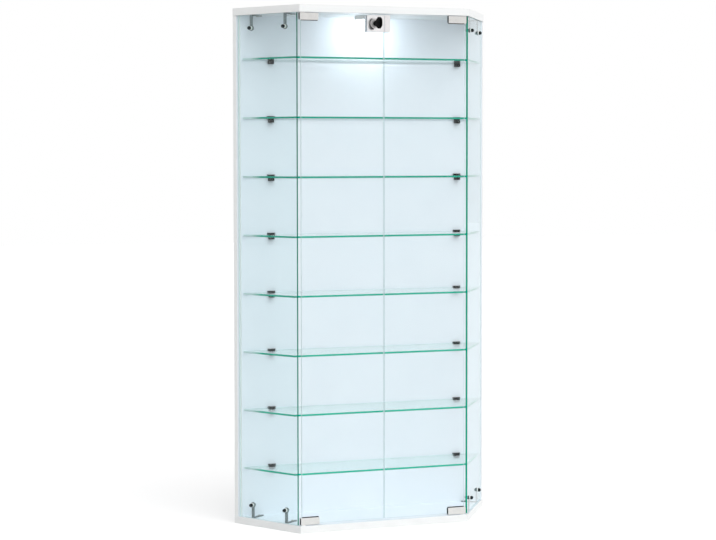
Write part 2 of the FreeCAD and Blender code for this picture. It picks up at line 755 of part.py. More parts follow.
wall_screws_left = new_body("clamp_wall_screws_left")
wall_head = Round(-clamp_screw_offset, wall_screw_z, clamp_screw_head)
wall_shank = Round(-clamp_screw_offset, wall_screw_z, clamp_screw)
head_pad = pad(wall_screws_left, "XZ", -clamp_wall, [wall_head], clamp_screw_head_height, -1)
shank_pad = pad(wall_screws_left, "XZ", -clamp_wall, [wall_shank], clamp_wall + clamp_screw_bite, 1)
stack(wall_screws_left, [head_pad, shank_pad])
place(wall_screws_left, left_row, back_face, lowest_shelf)
wall_screws_right = across("clamp_wall_screws_right", wall_screws_left, clamp_shift)
node(group("clamp_wall_screws", [wall_screws_left, wall_screws_right]))

set_screws_left = new_body("clamp_set_screws_left")
set_low = jaw_low + set_screw_recess
set_shank = Round(clamp_screw_offset, set_screw_y, set_screw)
set_pad = pad(set_screws_left, "XY", set_low, [set_shank], jaw_top - set_low, 1)
socket = hexagon(clamp_screw_offset, set_screw_y, set_screw_socket)
socket_cut = cut(set_screws_left, "XY", set_low, [socket], socket_depth, 1)
stack(set_screws_left, [set_pad, socket_cut])
place(set_screws_left, left_row, back_face, lowest_shelf)
set_screws_right = across("clamp_set_screws_right", set_screws_left, clamp_shift)
node(group("clamp_set_screws", [set_screws_left, set_screws_right]))

# Lamp: a shallow cup screwed under the top board, with a light board and a frosted lens
lamp_housing = new_body("lamp_housing")
pad(lamp_housing, "XY", 0, [Round(0, 0, lamp_width)], lamp_height, -1)
lamp_rim = -lamp_height.value
round_edges(lamp_housing, lamp_round, lambda edge: abs(edge.CenterOfMass.z - lamp_rim) < edge_match.value)
lamp_bore = lamp_width - lamp_wall * 2
cut(lamp_housing, "XY", -lamp_height, [Round(0, 0, lamp_bore)], lamp_height - lamp_wall, 1)
plate_holes = [Round(lamp_screw_reach * way, 0, wood_screw + loose_fit * 2) for way in (-1, 1)]
cut(lamp_housing, "XY", -lamp_wall, plate_holes + [Round(0, 0, cable_hole)], lamp_wall, 1)
place(lamp_housing, 0, lamp_back, ceiling)
node(lamp_housing)

light_board = new_body("lamp_light_board")
pad(light_board, "XY", -lamp_wall, [Round(0, 0, led_board_width)], led_board, -1)
chips = []
half_chip = led_chip / 2
for number in range(int(led_count.value)):
    turn = math.tau * number / led_count.value
    chip_x = led_reach * math.cos(turn)
    chip_y = led_reach * math.sin(turn)
    chips.append(box_loop(chip_x - half_chip, chip_y - half_chip, chip_x + half_chip, chip_y + half_chip))
pad(light_board, "XY", -lamp_wall - led_board, chips, led_chip_height, -1)
place(light_board, 0, lamp_back, ceiling)
node(light_board)

lamp_lens = new_body("lamp_lens")
lens_width = lamp_bore - seat_fit * 2
pad(lamp_lens, "XY", -lamp_height + lens_recess, [Round(0, 0, lens_width)], lens, 1)
place(lamp_lens, 0, lamp_back, ceiling)
node(lamp_lens)

lamp_screws = new_body("lamp_screws")
lamp_screw_heads = [Round(lamp_screw_reach * way, 0, wood_screw_head) for way in (-1, 1)]
lamp_screw_shanks = [Round(lamp_screw_reach * way, 0, wood_screw) for way in (-1, 1)]
pad(lamp_screws, "XY", -lamp_wall, lamp_screw_heads, wood_screw_head_height, -1)
pad(lamp_screws, "XY", -lamp_wall, lamp_screw_shanks, wood_screw_bite, 1)
place(lamp_screws, 0, lamp_back, ceiling)
node(lamp_screws)

# Pivot hinges: a pocket with a closed outer end over each door corner; its pin turns in a board bush
cap_top = door_top + hinge_bridge
cap_low = cap_top - hinge_height
slot_half = glass / 2 + hinge_liner
cap_half = slot_half + hinge_wall
cap_left = -pivot_inset
cap_right = cap_left + hinge_length
glass_start = cap_left + hinge_wall + hinge_liner


def place_on_left_door(item):
    # The left door's own frame has its origin on the pivot axis at floor level.
    place(item, -pivot_x, pivot_y, 0)


hinge_cap = new_body("left_hinge_cap_top")
channel = [
    (-cap_half, cap_low),
    (-slot_half, cap_low),
    (-slot_half, door_top),
    (slot_half, door_top),
    (slot_half, cap_low),
    (cap_half, cap_low),
    (cap_half, cap_top),
    (-cap_half, cap_top),
]
pad(hinge_cap, "YZ", cap_left, [channel], hinge_length, 1)
pad(hinge_cap, "YZ", cap_left, [box_loop(-cap_half, cap_low, cap_half, cap_top)], hinge_wall, 1)
cap_low_line = cap_low.value
cap_ends = (cap_left.value, cap_right.value)
round_edges(
    hinge_cap,
    hinge_corner,
    lambda edge: runs_along(edge, axis_y)
    and abs(edge.CenterOfMass.z - cap_low_line) < edge_match.value
    and any(abs(edge.CenterOfMass.x - end) < edge_match.value for end in cap_ends),
)
pin_hole = Round(0, 0, pivot_pin + seat_fit * 2)
cut(hinge_cap, "XY", door_top - overrun, [pin_hole], hinge_bridge + overrun * 2, 1)
set_z = cap_low + (hinge_height - hinge_bridge) / 2
set_places = [(cap_left + hinge_length * share, set_z) for share in (near_screw_share, far_screw_share)]
set_holes = [Round(x, z, set_screw + seat_fit * 2) for x, z in set_places]
cut(hinge_cap, "XZ", slot_half, set_holes, hinge_wall, 1)
place_on_left_door(hinge_cap)
node(hinge_cap)
cap_base = node(upended("left_hinge_cap_base", hinge_cap))
node(across("right_hinge_cap_top", hinge_cap))
node(across("right_hinge_cap_base", cap_base))

pin_top = new_body("left_hinge_pin_top")
pin_start = door_top + seat_fit
pad(pin_top, "XY", pin_start, [Round(0, 0, pivot_pin)], ceiling + pin_reach - pin_start, 1)
pin_end = (ceiling + pin_reach).value
round_edges(pin_top, pin_round, lambda edge: abs(edge.CenterOfMass.z - pin_end) < edge_match.value)
place_on_left_door(pin_top)
pins_left = node(group("left_hinge_pins", [pin_top, upended("left_hinge_pin_base", pin_top)]))
node(across("right_hinge_pins", pins_left))

bush_top = new_body("hinge_bush_top")
bush_bore = pivot_pin + running_fit * 2
pad(bush_top, "XY", ceiling, [Round(0, 0, bush_flange_width), Round(0, 0, bush_bore)], bush_flange, -1)
pad(bush_top, "XY", ceiling, [Round(0, 0, bush_width), Round(0, 0, bush_bore)], bush_depth, 1)
place_on_left_door(bush_top)
bushes_left = group("hinge_bushes_left", [bush_top, upended("hinge_bush_base", bush_top)])
node(group("hinge_bushes", [bushes_left, across("hinge_bushes_right", bushes_left)]))

liners_top = new_body("left_hinge_liners_top")
liner_loop = box_loop(
    glass_start + liner_inset, cap_low - liner_proud, cap_right - liner_inset, door_top - liner_inset
)
pad(liners_top, "XZ", -glass / 2, [liner_loop], hinge_liner, -1)
pad(liners_top, "XZ", glass / 2, [liner_loop], hinge_liner, 1)
place_on_left_door(liners_top)
liners_left = node(group("left_hinge_liners", [liners_top, upended("left_hinge_liners_base", liners_top)]))
node(across("right_hinge_liners", liners_left))

grips_top = new_body("left_hinge_set_screws_top")
pad(grips_top, "XZ", slot_half, [Round(x, z, set_screw) for x, z in set_places], hinge_wall, 1)
sockets = [hexagon(x, z, set_screw_socket) for x, z in set_places]
cut(grips_top, "XZ", cap_half, sockets, socket_depth, -1)
place_on_left_door(grips_top)
grips_base = upended("left_hinge_set_screws_base", grips_top)
grips_left = node(group("left_hinge_set_screws", [grips_top, grips_base]))
node(across("right_hinge_set_screws", grips_left))

# Door panes; the left one is bored for the lock and the right one for the strike's screws
lock_x = free_edge - lock_edge - lock_width / 2
lock_z = door_top - lock_height / 2
barrel_hole = barrel + glass_hole_clearance * 2
left_door_glass = new_body("left_door_glass")
door_loop = box_loop(glass_start, door_bottom, free_edge, door_top)
pad(left_door_glass, "XZ", glass / 2, [door_loop, Round(lock_x, lock_z, barrel_hole)], glass, -1)
place_on_left_door(left_door_glass)
node(left_door_glass)

strike_left = meeting_gap / 2 + lock_edge
strike_middle = strike_width / 2
strike_places = [(strike_middle, strike_screw_spread * way) for way in (-1, 1)]
right_door_glass = new_body("right_door_glass")
right_loop = box_loop(-free_edge, door_bottom, -glass_start, door_top)
right_holes = []
for x, z in strike_places:
    hole_x = strike_left - pivot_x + x
    right_holes.append(Round(hole_x, lock_z + z, strike_screw + glass_hole_clearance * 2))
pad(right_door_glass, "XZ", glass / 2, [right_loop] + right_holes, glass, -1)
place(right_door_glass, pivot_x, pivot_y, 0)
node(right_door_glass)


# Lock: a barrel through the glass holds the front plate and the rear case together
def place_on_lock(item):
    # The lock's own frame has its origin on the key's axis, half way through the glass.
    place(item, lock_x - pivot_x, pivot_y, lock_z)


plate_front = -(glass / 2 + lock_gasket + lock_plate)
flange_front = plate_front - barrel_flange
case_front = glass / 2 + lock_gasket
case_inside = case_front + case_wall
barrel_rear = case_inside + ring_nut + barrel_tail
disc_front = barrel_rear + drive_gap
disc_rear = disc_front + drive_disc
latch_front = disc_rear + latch_gap
latch_rear = latch_front + latch
lid_front = latch_rear + lid_gap
lid_rear = lid_front + case_lid
lock_half = lock_width / 2
lock_rise = lock_height / 2
lock_loop = box_loop(-lock_half, -lock_rise, lock_half, lock_rise)
plate_hole = Round(0, 0, barrel + loose_fit * 2)

plate_edge = lock_half + lock_edge + (meeting_gap - plate_gap) / 2
plate_loop = box_loop(-lock_half, -lock_rise, plate_edge, lock_rise)
lock_front = new_body("lock_plate")
pad(lock_front, "XZ", plate_front, [plate_loop, plate_hole], lock_plate, 1)
round_edges(lock_front, lock_corner, lambda edge: runs_along(edge, axis_y) and edge.CenterOfMass.x < 0)
place_on_lock(lock_front)
node(lock_front)

gaskets = new_body("lock_gaskets")
gasket_half = lock_half - lock_corner
gasket_rise = lock_rise - lock_corner
gasket_loop = box_loop(-gasket_half, -gasket_rise, gasket_half, gasket_rise)
pad(gaskets, "XZ", -glass / 2, [gasket_loop, plate_hole], lock_gasket, -1)
pad(gaskets, "XZ", glass / 2, [gasket_loop, plate_hole], lock_gasket, 1)
place_on_lock(gaskets)
node(gaskets)

lock_barrel = new_body("lock_barrel")
plug_bore = Round(0, 0, plug + running_fit * 2)
pad(lock_barrel, "XZ", plate_front, [Round(0, 0, barrel_flange_width), plug_bore], barrel_flange, -1)
pad(lock_barrel, "XZ", plate_front, [Round(0, 0, barrel), plug_bore], barrel_rear - plate_front, 1)
place_on_lock(lock_barrel)
node(lock_barrel)

lock_nut = new_body("lock_nut")
nut_bore = Round(0, 0, barrel + seat_fit * 2)
pad(lock_nut, "XZ", case_inside, [hexagon(size(0), size(0), ring_nut_width), nut_bore], ring_nut, 1)
place_on_lock(lock_nut)
node(lock_nut)

lock_case = new_body("lock_case")
pad(lock_case, "XZ", case_front, [lock_loop], lid_front - case_front, 1)
inner_half = lock_half - case_wall
inner_rise = lock_rise - case_wall
hollow = [
    (-inner_half + case_post, -inner_rise),
    (inner_half - case_post, -inner_rise),
    (inner_half, -inner_rise + case_post),
    (inner_half, inner_rise - case_post),
    (inner_half - case_post, inner_rise),
    (-inner_half + case_post, inner_rise),
    (-inner_half, inner_rise - case_post),
    (-inner_half, -inner_rise + case_post),
]
cut(lock_case, "XZ", lid_front, [hollow], lid_front - case_inside, -1)
cut(lock_case, "XZ", case_inside + overrun, [plate_hole], case_wall + overrun * 2, -1)
window_low = -latch_low - loose_fit
window = box_loop(latch_front - loose_fit, window_low, latch_rear + loose_fit, latch_high + loose_fit)
cut(lock_case, "YZ", inner_half - overrun, [window], case_wall + overrun * 2, 1)
lid_x = lock_half - lid_screw_inset
lid_z = lock_rise - lid_screw_inset
lid_places = [(lid_x * way, lid_z * up) for way in (-1, 1) for up in (-1, 1)]
thread_holes = [Round(x, z, lid_screw + seat_fit * 2) for x, z in lid_places]
cut(lock_case, "XZ", lid_front, thread_holes, lid_screw_bite + hole_end, -1)
place_on_lock(lock_case)
node(lock_case)

lock_cover = new_body("lock_cover")
cover_holes = [Round(x, z, lid_screw + loose_fit * 2) for x, z in lid_places]
pad(lock_cover, "XZ", lid_front, [lock_loop] + cover_holes, case_lid, 1)
place_on_lock(lock_cover)
node(lock_cover)

lock_screws = new_body("lock_cover_screws")
lid_heads = [Round(x, z, lid_screw_head) for x, z in lid_places]
pad(lock_screws, "XZ", lid_rear, lid_heads, lid_screw_head_height, 1)
lid_shanks = [Round(x, z, lid_screw) for x, z in lid_places]
pad(lock_screws, "XZ", lid_rear, lid_shanks, case_lid + lid_screw_bite, -1)
place_on_lock(lock_screws)
node(lock_screws)

# The plug turns in the barrel, and its crank pin slides the latch through a slot
lock_plug = new_body("lock_plug")
plug_front = flange_front - plug_proud
pad(lock_plug, "XZ", plug_front, [Round(0, 0, plug)], disc_front - plug_front, 1)
keyway = box_loop(-keyway_width / 2, -keyway_height / 2, keyway_width / 2, keyway_height / 2)
cut(lock_plug, "XZ", plug_front, [keyway], keyway_depth, 1)
place_on_lock(lock_plug)
node(lock_plug)

lock_drive = new_body("lock_drive")
pad(lock_drive, "XZ", disc_front, [Round(0, 0, drive_disc_width)], drive_disc, 1)
pad(lock_drive, "XZ", disc_rear, [Round(-crank, -crank, drive_pin)], latch_gap + latch + loose_fit, 1)
place_on_lock(lock_drive)
node(lock_drive)

lock_latch = new_body("lock_latch")
latch_loop = box_loop(-latch_tail, -latch_low, lock_half - loose_fit, latch_high)
crank_radius = root(crank * crank * 2)
slot_room = drive_pin / 2 + loose_fit
slot_loop = box_loop(-crank - slot_room, -crank_radius - slot_room, -crank + slot_room, -crank + slot_room)
pad(lock_latch, "XZ", latch_front, [latch_loop, slot_loop], latch, 1)
place_on_lock(lock_latch)
node(lock_latch)

# Key: a flat blade held in a moulded bow
key_blade = new_body("key_blade")
bow_root = plug_front - key_neck
blade_loop = box_loop(bow_root - key_tang, -key_blade_height / 2, plug_front + key_in, key_blade_height / 2)
pad(key_blade, "YZ", -key_thickness / 2, [blade_loop], key_thickness, 1)
place_on_lock(key_blade)
node(key_blade)

key_bow = new_body("key_bow")
bow_end = bow_root - bow_length
bow_wide = bow_root - bow_shoulder
bow_loop = [
    (bow_root, -bow_root_height / 2),
    (bow_root, bow_root_height / 2),
    (bow_wide, bow_height / 2),
    (bow_end, bow_end_height / 2),
    (bow_end, -bow_end_height / 2),
    (bow_wide, -bow_height / 2),
]
pad(key_bow, "YZ", -bow_thickness / 2, [bow_loop], bow_thickness, 1)
bow_root_line = bow_root.value
round_edges(
    key_bow,
    bow_corner,
    lambda edge: runs_along(edge, axis_x) and edge.CenterOfMass.y < bow_root_line - edge_match.value,
)
bow_side = bow_thickness.value / 2
round_edges(key_bow, bow_edge, lambda edge: abs(abs(edge.CenterOfMass.x) - bow_side) < edge_match.value)
cut(key_bow, "YZ", -bow_thickness / 2, [Round(bow_root - bow_hole_reach, 0, bow_hole)], bow_thickness, 1)
tang_half = key_thickness / 2 + seat_fit
tang_rise = key_blade_height / 2 + seat_fit
tang_loop = box_loop(-tang_half, -tang_rise, tang_half, tang_rise)
cut(key_bow, "XZ", bow_root, [tang_loop], key_tang + seat_fit, -1)
place_on_lock(key_bow)
node(key_bow)


# Strike on the right door, with a pocket that takes the latch
def place_on_strike(item):
    place(item, strike_left, pivot_y, lock_z)


strike_loop = box_loop(0, -lock_rise, strike_width, lock_rise)
strike_plate_loop = box_loop(plate_gap / 2 - strike_left, -lock_rise, strike_width, lock_rise)
strike_plate = new_body("strike_plate")
pad(strike_plate, "XZ", plate_front, [strike_plate_loop], -(glass / 2) - plate_front, 1)
round_edges(strike_plate, lock_corner, lambda edge: runs_along(edge, axis_y) and edge.CenterOfMass.x > 0)
blind_holes = [Round(x, z, strike_screw + seat_fit * 2) for x, z in strike_places]
cut(strike_plate, "XZ", -glass / 2, blind_holes, strike_screw_bite + hole_end, -1)
place_on_strike(strike_plate)
node(strike_plate)

strike_box = new_body("strike_box")
pad(strike_box, "XZ", glass / 2, [strike_loop], lid_rear - glass / 2, 1)
pocket_loop = box_loop(
    latch_front - strike_clearance,
    -latch_low - strike_clearance,
    latch_rear + strike_clearance,
    latch_high + strike_clearance,
)
cut(strike_box, "YZ", 0, [pocket_loop], strike_pocket, 1)
shank_holes = [Round(x, z, strike_screw + loose_fit * 2) for x, z in strike_places]
cut(strike_box, "XZ", glass / 2, shank_holes, lid_rear - glass / 2, 1)
head_holes = [Round(x, z, strike_screw_head + loose_fit * 2) for x, z in strike_places]
cut(strike_box, "XZ", lid_rear, head_holes, strike_screw_head_height, -1)
place_on_strike(strike_box)
node(strike_box)

strike_screws = new_body("strike_screws")
head_seat = lid_rear - strike_screw_head_height
strike_heads = [Round(x, z, strike_screw_head) for x, z in strike_places]
pad(strike_screws, "XZ", head_seat, strike_heads, strike_screw_head_height, 1)
strike_shanks = [Round(x, z, strike_screw) for x, z in strike_places]
pad(strike_screws, "XZ", head_seat, strike_shanks, head_seat + glass / 2 + strike_screw_bite, -1)
place_on_strike(strike_screws)
node(strike_screws)

# Every object must be sound before its piece is written
doc.recompute()
for item in doc.Objects:
    if "Invalid" in item.State or "Error" in item.State:
        raise RuntimeError(f"{item.Label} did not compute: {item.State}")
for label, item in nodes.items():
    if item.Shape.isNull() or not item.Shape.isValid():
        raise RuntimeError(f"{label} has no valid shape")
    item.Shape.exportStep(os.path.join("parts", label + ".step"))
print(len(nodes), "pieces written")
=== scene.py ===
import json
import math

import bmesh
import bpy
from mathutils import Matrix, Vector


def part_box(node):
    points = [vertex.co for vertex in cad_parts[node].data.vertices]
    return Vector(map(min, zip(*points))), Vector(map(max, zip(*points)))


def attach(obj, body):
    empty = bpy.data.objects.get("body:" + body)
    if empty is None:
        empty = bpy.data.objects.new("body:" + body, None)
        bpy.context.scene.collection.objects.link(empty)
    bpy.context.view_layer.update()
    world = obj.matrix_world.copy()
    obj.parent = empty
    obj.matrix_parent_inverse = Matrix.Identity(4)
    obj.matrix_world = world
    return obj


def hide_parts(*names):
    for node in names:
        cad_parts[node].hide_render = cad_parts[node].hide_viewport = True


# Glass display cabinet: white boards, clear float glass, chrome hinges and lock, lamp under the top
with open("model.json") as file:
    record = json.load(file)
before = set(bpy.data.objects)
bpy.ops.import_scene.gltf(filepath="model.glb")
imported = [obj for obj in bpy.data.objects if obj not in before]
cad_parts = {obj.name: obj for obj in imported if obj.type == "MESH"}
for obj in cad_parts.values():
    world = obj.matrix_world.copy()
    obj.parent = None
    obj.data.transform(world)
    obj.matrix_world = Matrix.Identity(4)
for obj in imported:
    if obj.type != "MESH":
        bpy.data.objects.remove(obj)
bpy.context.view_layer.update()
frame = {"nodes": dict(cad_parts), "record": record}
nodes = frame["nodes"]
bodyOf = {}
for bodyName, members in frame["record"]["behaviour"]["bodies"].items():
    for member in members:
        bodyOf[member] = bodyName
mm = 0.001
print("frame loaded:", len(nodes), "nodes")


def linear(hexText):
    # sRGB hex to the linear colour that shaders take
    channels = [int(hexText[at:at + 2], 16) / 255 for at in (1, 3, 5)]
    return [c / 12.92 if c <= 0.04045 else ((c + 0.055) / 1.055) ** 2.4 for c in channels] + [1.0]


def perSize(millimetres):
    # pattern scale that repeats about once in this real size
    return 1 / (millimetres * mm)


def addNode(tree, kind, settings=None, links=None):
    node = tree.nodes.new(kind)
    for name, value in (settings or {}).items():
        if isinstance(name, int) or name in node.inputs:
            node.inputs[name].default_value = value
        else:
            setattr(node, name, value)
    for name, (source, output) in (links or {}).items():
        tree.links.new(source.outputs[output], node.inputs[name])
    return node


def startMaterial(name):
    material = bpy.data.materials.new(name)
    material.use_nodes = True
    material.node_tree.nodes.clear()
    return material, material.node_tree


# Melamine faced chipboard, pressed on a pearled plate: white, faintly pebbled, with a soft sheen.
# The pearl is about twice its real size, so that it shows in close views.
melamine = {"pearl": 1.6, "cloud": 70, "sheen": (0.34, 0.46), "relief": 0.02}


def pressedMelamine(name, light, dark):
    material, tree = startMaterial(name)
    coords = addNode(tree, "ShaderNodeTexCoord")
    cloud = addNode(
        tree, "ShaderNodeTexNoise", {"Scale": perSize(melamine["cloud"]), "Detail": 3},
        {"Vector": (coords, "Object")},
    )
    pearl = addNode(
        tree, "ShaderNodeTexNoise", {"Scale": perSize(melamine["pearl"]), "Detail": 2},
        {"Vector": (coords, "Object")},
    )
    shade = addNode(
        tree, "ShaderNodeMix", {"data_type": "RGBA", 6: linear(dark), 7: linear(light)}, {0: (cloud, 0)}
    )
    smooth, rough = melamine["sheen"]
    sheen = addNode(tree, "ShaderNodeMapRange", {"To Min": smooth, "To Max": rough}, {"Value": (pearl, 0)})
    relief = addNode(
        tree, "ShaderNodeBump", {"Strength": 0.35, "Distance": melamine["relief"] * mm},
        {"Height": (pearl, 0)},
    )
    shader = addNode(
        tree, "ShaderNodeBsdfPrincipled", {"IOR": 1.5},
        {"Base Color": (shade, 2), "Roughness": (sheen, 0), "Normal": (relief, 0)},
    )
    addNode(tree, "ShaderNodeOutputMaterial", links={"Surface": (shader, 0)})
    return material


whiteMelamine = pressedMelamine("whiteMelaminePressed", light="#e1e3e4", dark="#dbddde")
# The back and base boards are the same white melamine, painted a shade bluer as painted light inside the
# cabinet
interiorMelaminePaintedLight = pressedMelamine("whiteMelamineInteriorPaintedLight", light="#e5ebf1", dark="#dfe6ed")

# ABS edge band, extruded and trimmed: a brighter white, a little glossier, with fine lines along the strip
edgeBand = {
    "light": "#f0f1f1", "dark": "#e9ebeb", "lines": 0.5, "stretch": (0.04, 0.04, 1), "sheen": (0.26, 0.36),
    "relief": 0.012,
}
whiteEdgeBand, tree = startMaterial("whiteAbsEdgeBand")
coords = addNode(tree, "ShaderNodeTexCoord")
along = addNode(tree, "ShaderNodeMapping", {"Scale": edgeBand["stretch"]}, {"Vector": (coords, "Object")})
lines = addNode(
    tree, "ShaderNodeTexNoise", {"Scale": perSize(edgeBand["lines"]), "Detail": 2}, {"Vector": (along, 0)}
)
shade = addNode(
    tree, "ShaderNodeMix",
    {"data_type": "RGBA", 6: linear(edgeBand["dark"]), 7: linear(edgeBand["light"])}, {0: (lines, 0)},
)
smooth, rough = edgeBand["sheen"]
sheen = addNode(tree, "ShaderNodeMapRange", {"To Min": smooth, "To Max": rough}, {"Value": (lines, 0)})
relief = addNode(
    tree, "ShaderNodeBump", {"Strength": 0.3, "Distance": edgeBand["relief"] * mm}, {"Height": (lines, 0)}
)
shader = addNode(
    tree, "ShaderNodeBsdfPrincipled", {"IOR": 1.53},
    {"Base Color": (shade, 2), "Roughness": (sheen, 0), "Normal": (relief, 0)},
)
addNode(tree, "ShaderNodeOutputMaterial", links={"Surface": (shader, 0)})

# Float glass, fire polished: clear, a breath of blue green that deepens where the eye meets it at a low angle,
# and faint wiped smears that only soften reflections
glassSheet = {
    "smear": 55, "wipe": (1, 1, 0.3), "wipeTurn": (0.3, 0.5, 0), "mirrored": "#bcbcbc", "passing": "#feffff"
}


def floatGlass(name, tint, grazing, softest):
    material, tree = startMaterial(name)
    coords = addNode(tree, "ShaderNodeTexCoord")
    wipes = addNode(
        tree, "ShaderNodeMapping", {"Scale": glassSheet["wipe"], "Rotation": glassSheet["wipeTurn"]},
        {"Vector": (coords, "Object")},
    )
    haze = addNode(
        tree, "ShaderNodeTexNoise", {"Scale": perSize(glassSheet["smear"]), "Detail": 4},
        {"Vector": (wipes, 0)},
    )
    soft = addNode(
        tree, "ShaderNodeMapRange", {"From Min": 0.5, "From Max": 0.8, "To Min": 0.0, "To Max": softest},
        {"Value": (haze, 0)},
    )
    slant = addNode(tree, "ShaderNodeLayerWeight", {"Blend": 0.5})
    shade = addNode(
        tree, "ShaderNodeMix", {"data_type": "RGBA", 6: linear(tint), 7: linear(grazing)},
        {0: (slant, "Facing")},
    )
    # The room before the glass is dimmer than its white surround, so what it mirrors face on is toned down
    shader = addNode(
        tree, "ShaderNodeBsdfPrincipled",
        {"IOR": 1.52, "Transmission Weight": 1.0, "Specular Tint": linear(glassSheet["mirrored"])},
        {"Base Color": (shade, 2), "Roughness": (soft, 0)},
    )
    # Lamp and room light goes straight through, so what stands behind is lit as behind a real pane
    rays = addNode(tree, "ShaderNodeLightPath")
    lighting = addNode(
        tree, "ShaderNodeMath", {"operation": "MAXIMUM"},
        {0: (rays, "Is Shadow Ray"), 1: (rays, "Is Diffuse Ray")},
    )
    passage = addNode(tree, "ShaderNodeBsdfTransparent", {"Color": linear(glassSheet["passing"])})
    both = addNode(tree, "ShaderNodeMixShader", links={0: (lighting, 0), 1: (shader, 0), 2: (passage, 0)})
    addNode(tree, "ShaderNodeOutputMaterial", links={"Surface": (both, 0)})
    return material


doorGlass = floatGlass("floatGlassDoor", tint="#fbfeff", grazing="#f4fbfe", softest=0.012)
paneGlass = floatGlass("floatGlassSidePane", tint="#f4fbfb", grazing="#cbe0ea", softest=0.012)
shelfGlass = floatGlass("floatGlassShelf", tint="#eefbf9", grazing="#e0f4ed", softest=0.010)

# Ground and polished glass edge: the iron in the glass shows as green, with painted streaks of trapped light.
# It is painted lighter lower down, as painted light from the floor, and shelf edges are painted pale close to
# the white back.
# Sizes, heights and depths are in millimetres.
glassEdge = {
    "streak": 18, "paintedStreakShare": 0.4, "stretch": (1, 1, 0.15), "grit": 0.8, "sheen": (0.08, 0.2),
    "heights": (1100, 50), "paintedFloorLightShare": 0.6, "paintedBackLightDepths": (20, 45),
}


def polishedEdgeWithPaintedLight(name, deep, bright, rear=None):
    material, tree = startMaterial(name)
    coords = addNode(tree, "ShaderNodeTexCoord")
    along = addNode(
        tree, "ShaderNodeMapping", {"Scale": glassEdge["stretch"]}, {"Vector": (coords, "Object")}
    )
    streaks = addNode(
        tree, "ShaderNodeTexNoise", {"Scale": perSize(glassEdge["streak"]), "Detail": 3},
        {"Vector": (along, 0)},
    )
    grit = addNode(
        tree, "ShaderNodeTexNoise", {"Scale": perSize(glassEdge["grit"]), "Detail": 2},
        {"Vector": (coords, "Object")},
    )
    place = addNode(tree, "ShaderNodeSeparateXYZ", links={0: (coords, "Object")})
    high, low = glassEdge["heights"]
    # painted light: lower down the edge is mixed toward its bright green, as if lit from the floor
    paintedFloorLight = addNode(
        tree, "ShaderNodeMapRange",
        {"From Min": high * mm, "From Max": low * mm, "To Max": glassEdge["paintedFloorLightShare"]},
        {"Value": (place, "Z")},
    )
    # painted streaks of trapped light, added to the painted floor light
    paintedEdgeLight = addNode(
        tree, "ShaderNodeMath", {"operation": "MULTIPLY_ADD", 1: glassEdge["paintedStreakShare"]},
        {0: (streaks, 0), 2: (paintedFloorLight, 0)},
    )
    shade = addNode(
        tree, "ShaderNodeMix", {"data_type": "RGBA", 6: linear(deep), 7: linear(bright)}, {0: (paintedEdgeLight, 0)}
    )
    if rear:
        # painted light: close to the white back the edge is mixed toward a pale tint
        start, end = glassEdge["paintedBackLightDepths"]
        near = addNode(
            tree, "ShaderNodeMapRange", {"From Min": start * mm, "From Max": end * mm},
            {"Value": (place, "Y")},
        )
        shade = addNode(
            tree, "ShaderNodeMix", {"data_type": "RGBA", 7: linear(rear)}, {0: (near, 0), 6: (shade, 2)}
        )
    smooth, rough = glassEdge["sheen"]
    sheen = addNode(tree, "ShaderNodeMapRange", {"To Min": smooth, "To Max": rough}, {"Value": (grit, 0)})
    shader = addNode(
        tree, "ShaderNodeBsdfPrincipled", {"IOR": 1.52, "Specular IOR Level": 0.06},
        {"Base Color": (shade, 2), "Roughness": (sheen, 0)},
    )
    addNode(tree, "ShaderNodeOutputMaterial", links={"Surface": (shader, 0)})
    return material


# One glass edge in two greens: the left pane's edge is painted darker as painted shade, the right pane's
# lighter as painted light
paneEdgeShadedAndLit = {
    "left": polishedEdgeWithPaintedLight("floatGlassLeftPaneEdgePaintedShade", deep="#005443", bright="#048a72"),
    "right": polishedEdgeWithPaintedLight("floatGlassRightPaneEdgePaintedLight", deep="#00876c", bright="#02a686"),
}
# shelf edges take a pale painted light near the white back
shelfEdge = polishedEdgeWithPaintedLight("floatGlassShelfEdge", deep="#008a73", bright="#02b899", rear="#c3dad8")
# Door edges are painted pale, as painted light from the white room open on both sides
doorEdgePaintedPale = polishedEdgeWithPaintedLight("floatGlassDoorEdgePaintedLight", deep="#cde1e4", bright="#e0edf0")
# Rear edges are only ground, which makes them paler, and are painted paler still as painted light from the
# white board they rest on
groundAndPaintedPaleEdge = polishedEdgeWithPaintedLight("floatGlassGroundEdgePaintedPale", deep="#c9e4e2", bright="#dcf0ee")

# Plated metal: colour from the plate, and a grain that spreads highlights along the polishing direction.
# Patch, grain and relief are in millimetres.
plating = {"patch": 9}


def platedMetal(name, low, high, gloss, grain, stretch, relief):
    material, tree = startMaterial(name)
    coords = addNode(tree, "ShaderNodeTexCoord")
    along = addNode(tree, "ShaderNodeMapping", {"Scale": stretch}, {"Vector": (coords, "Object")})
    scratch = addNode(
        tree, "ShaderNodeTexNoise", {"Scale": perSize(grain), "Detail": 3}, {"Vector": (along, 0)}
    )
    patch = addNode(
        tree, "ShaderNodeTexNoise", {"Scale": perSize(plating["patch"]), "Detail": 2},
        {"Vector": (coords, "Object")},
    )
    shade = addNode(
        tree, "ShaderNodeMix", {"data_type": "RGBA", 6: linear(low), 7: linear(high)}, {0: (patch, 0)}
    )
    smooth, rough = gloss
    sheen = addNode(tree, "ShaderNodeMapRange", {"To Min": smooth, "To Max": rough}, {"Value": (scratch, 0)})
    bump = addNode(
        tree, "ShaderNodeBump", {"Strength": 0.25, "Distance": relief * mm}, {"Height": (scratch, 0)}
    )
    shader = addNode(
        tree, "ShaderNodeBsdfPrincipled", {"Metallic": 1.0},
        {"Base Color": (shade, 2), "Roughness": (sheen, 0), "Normal": (bump, 0)},
    )
    addNode(tree, "ShaderNodeOutputMaterial", links={"Surface": (shader, 0)})
    return material


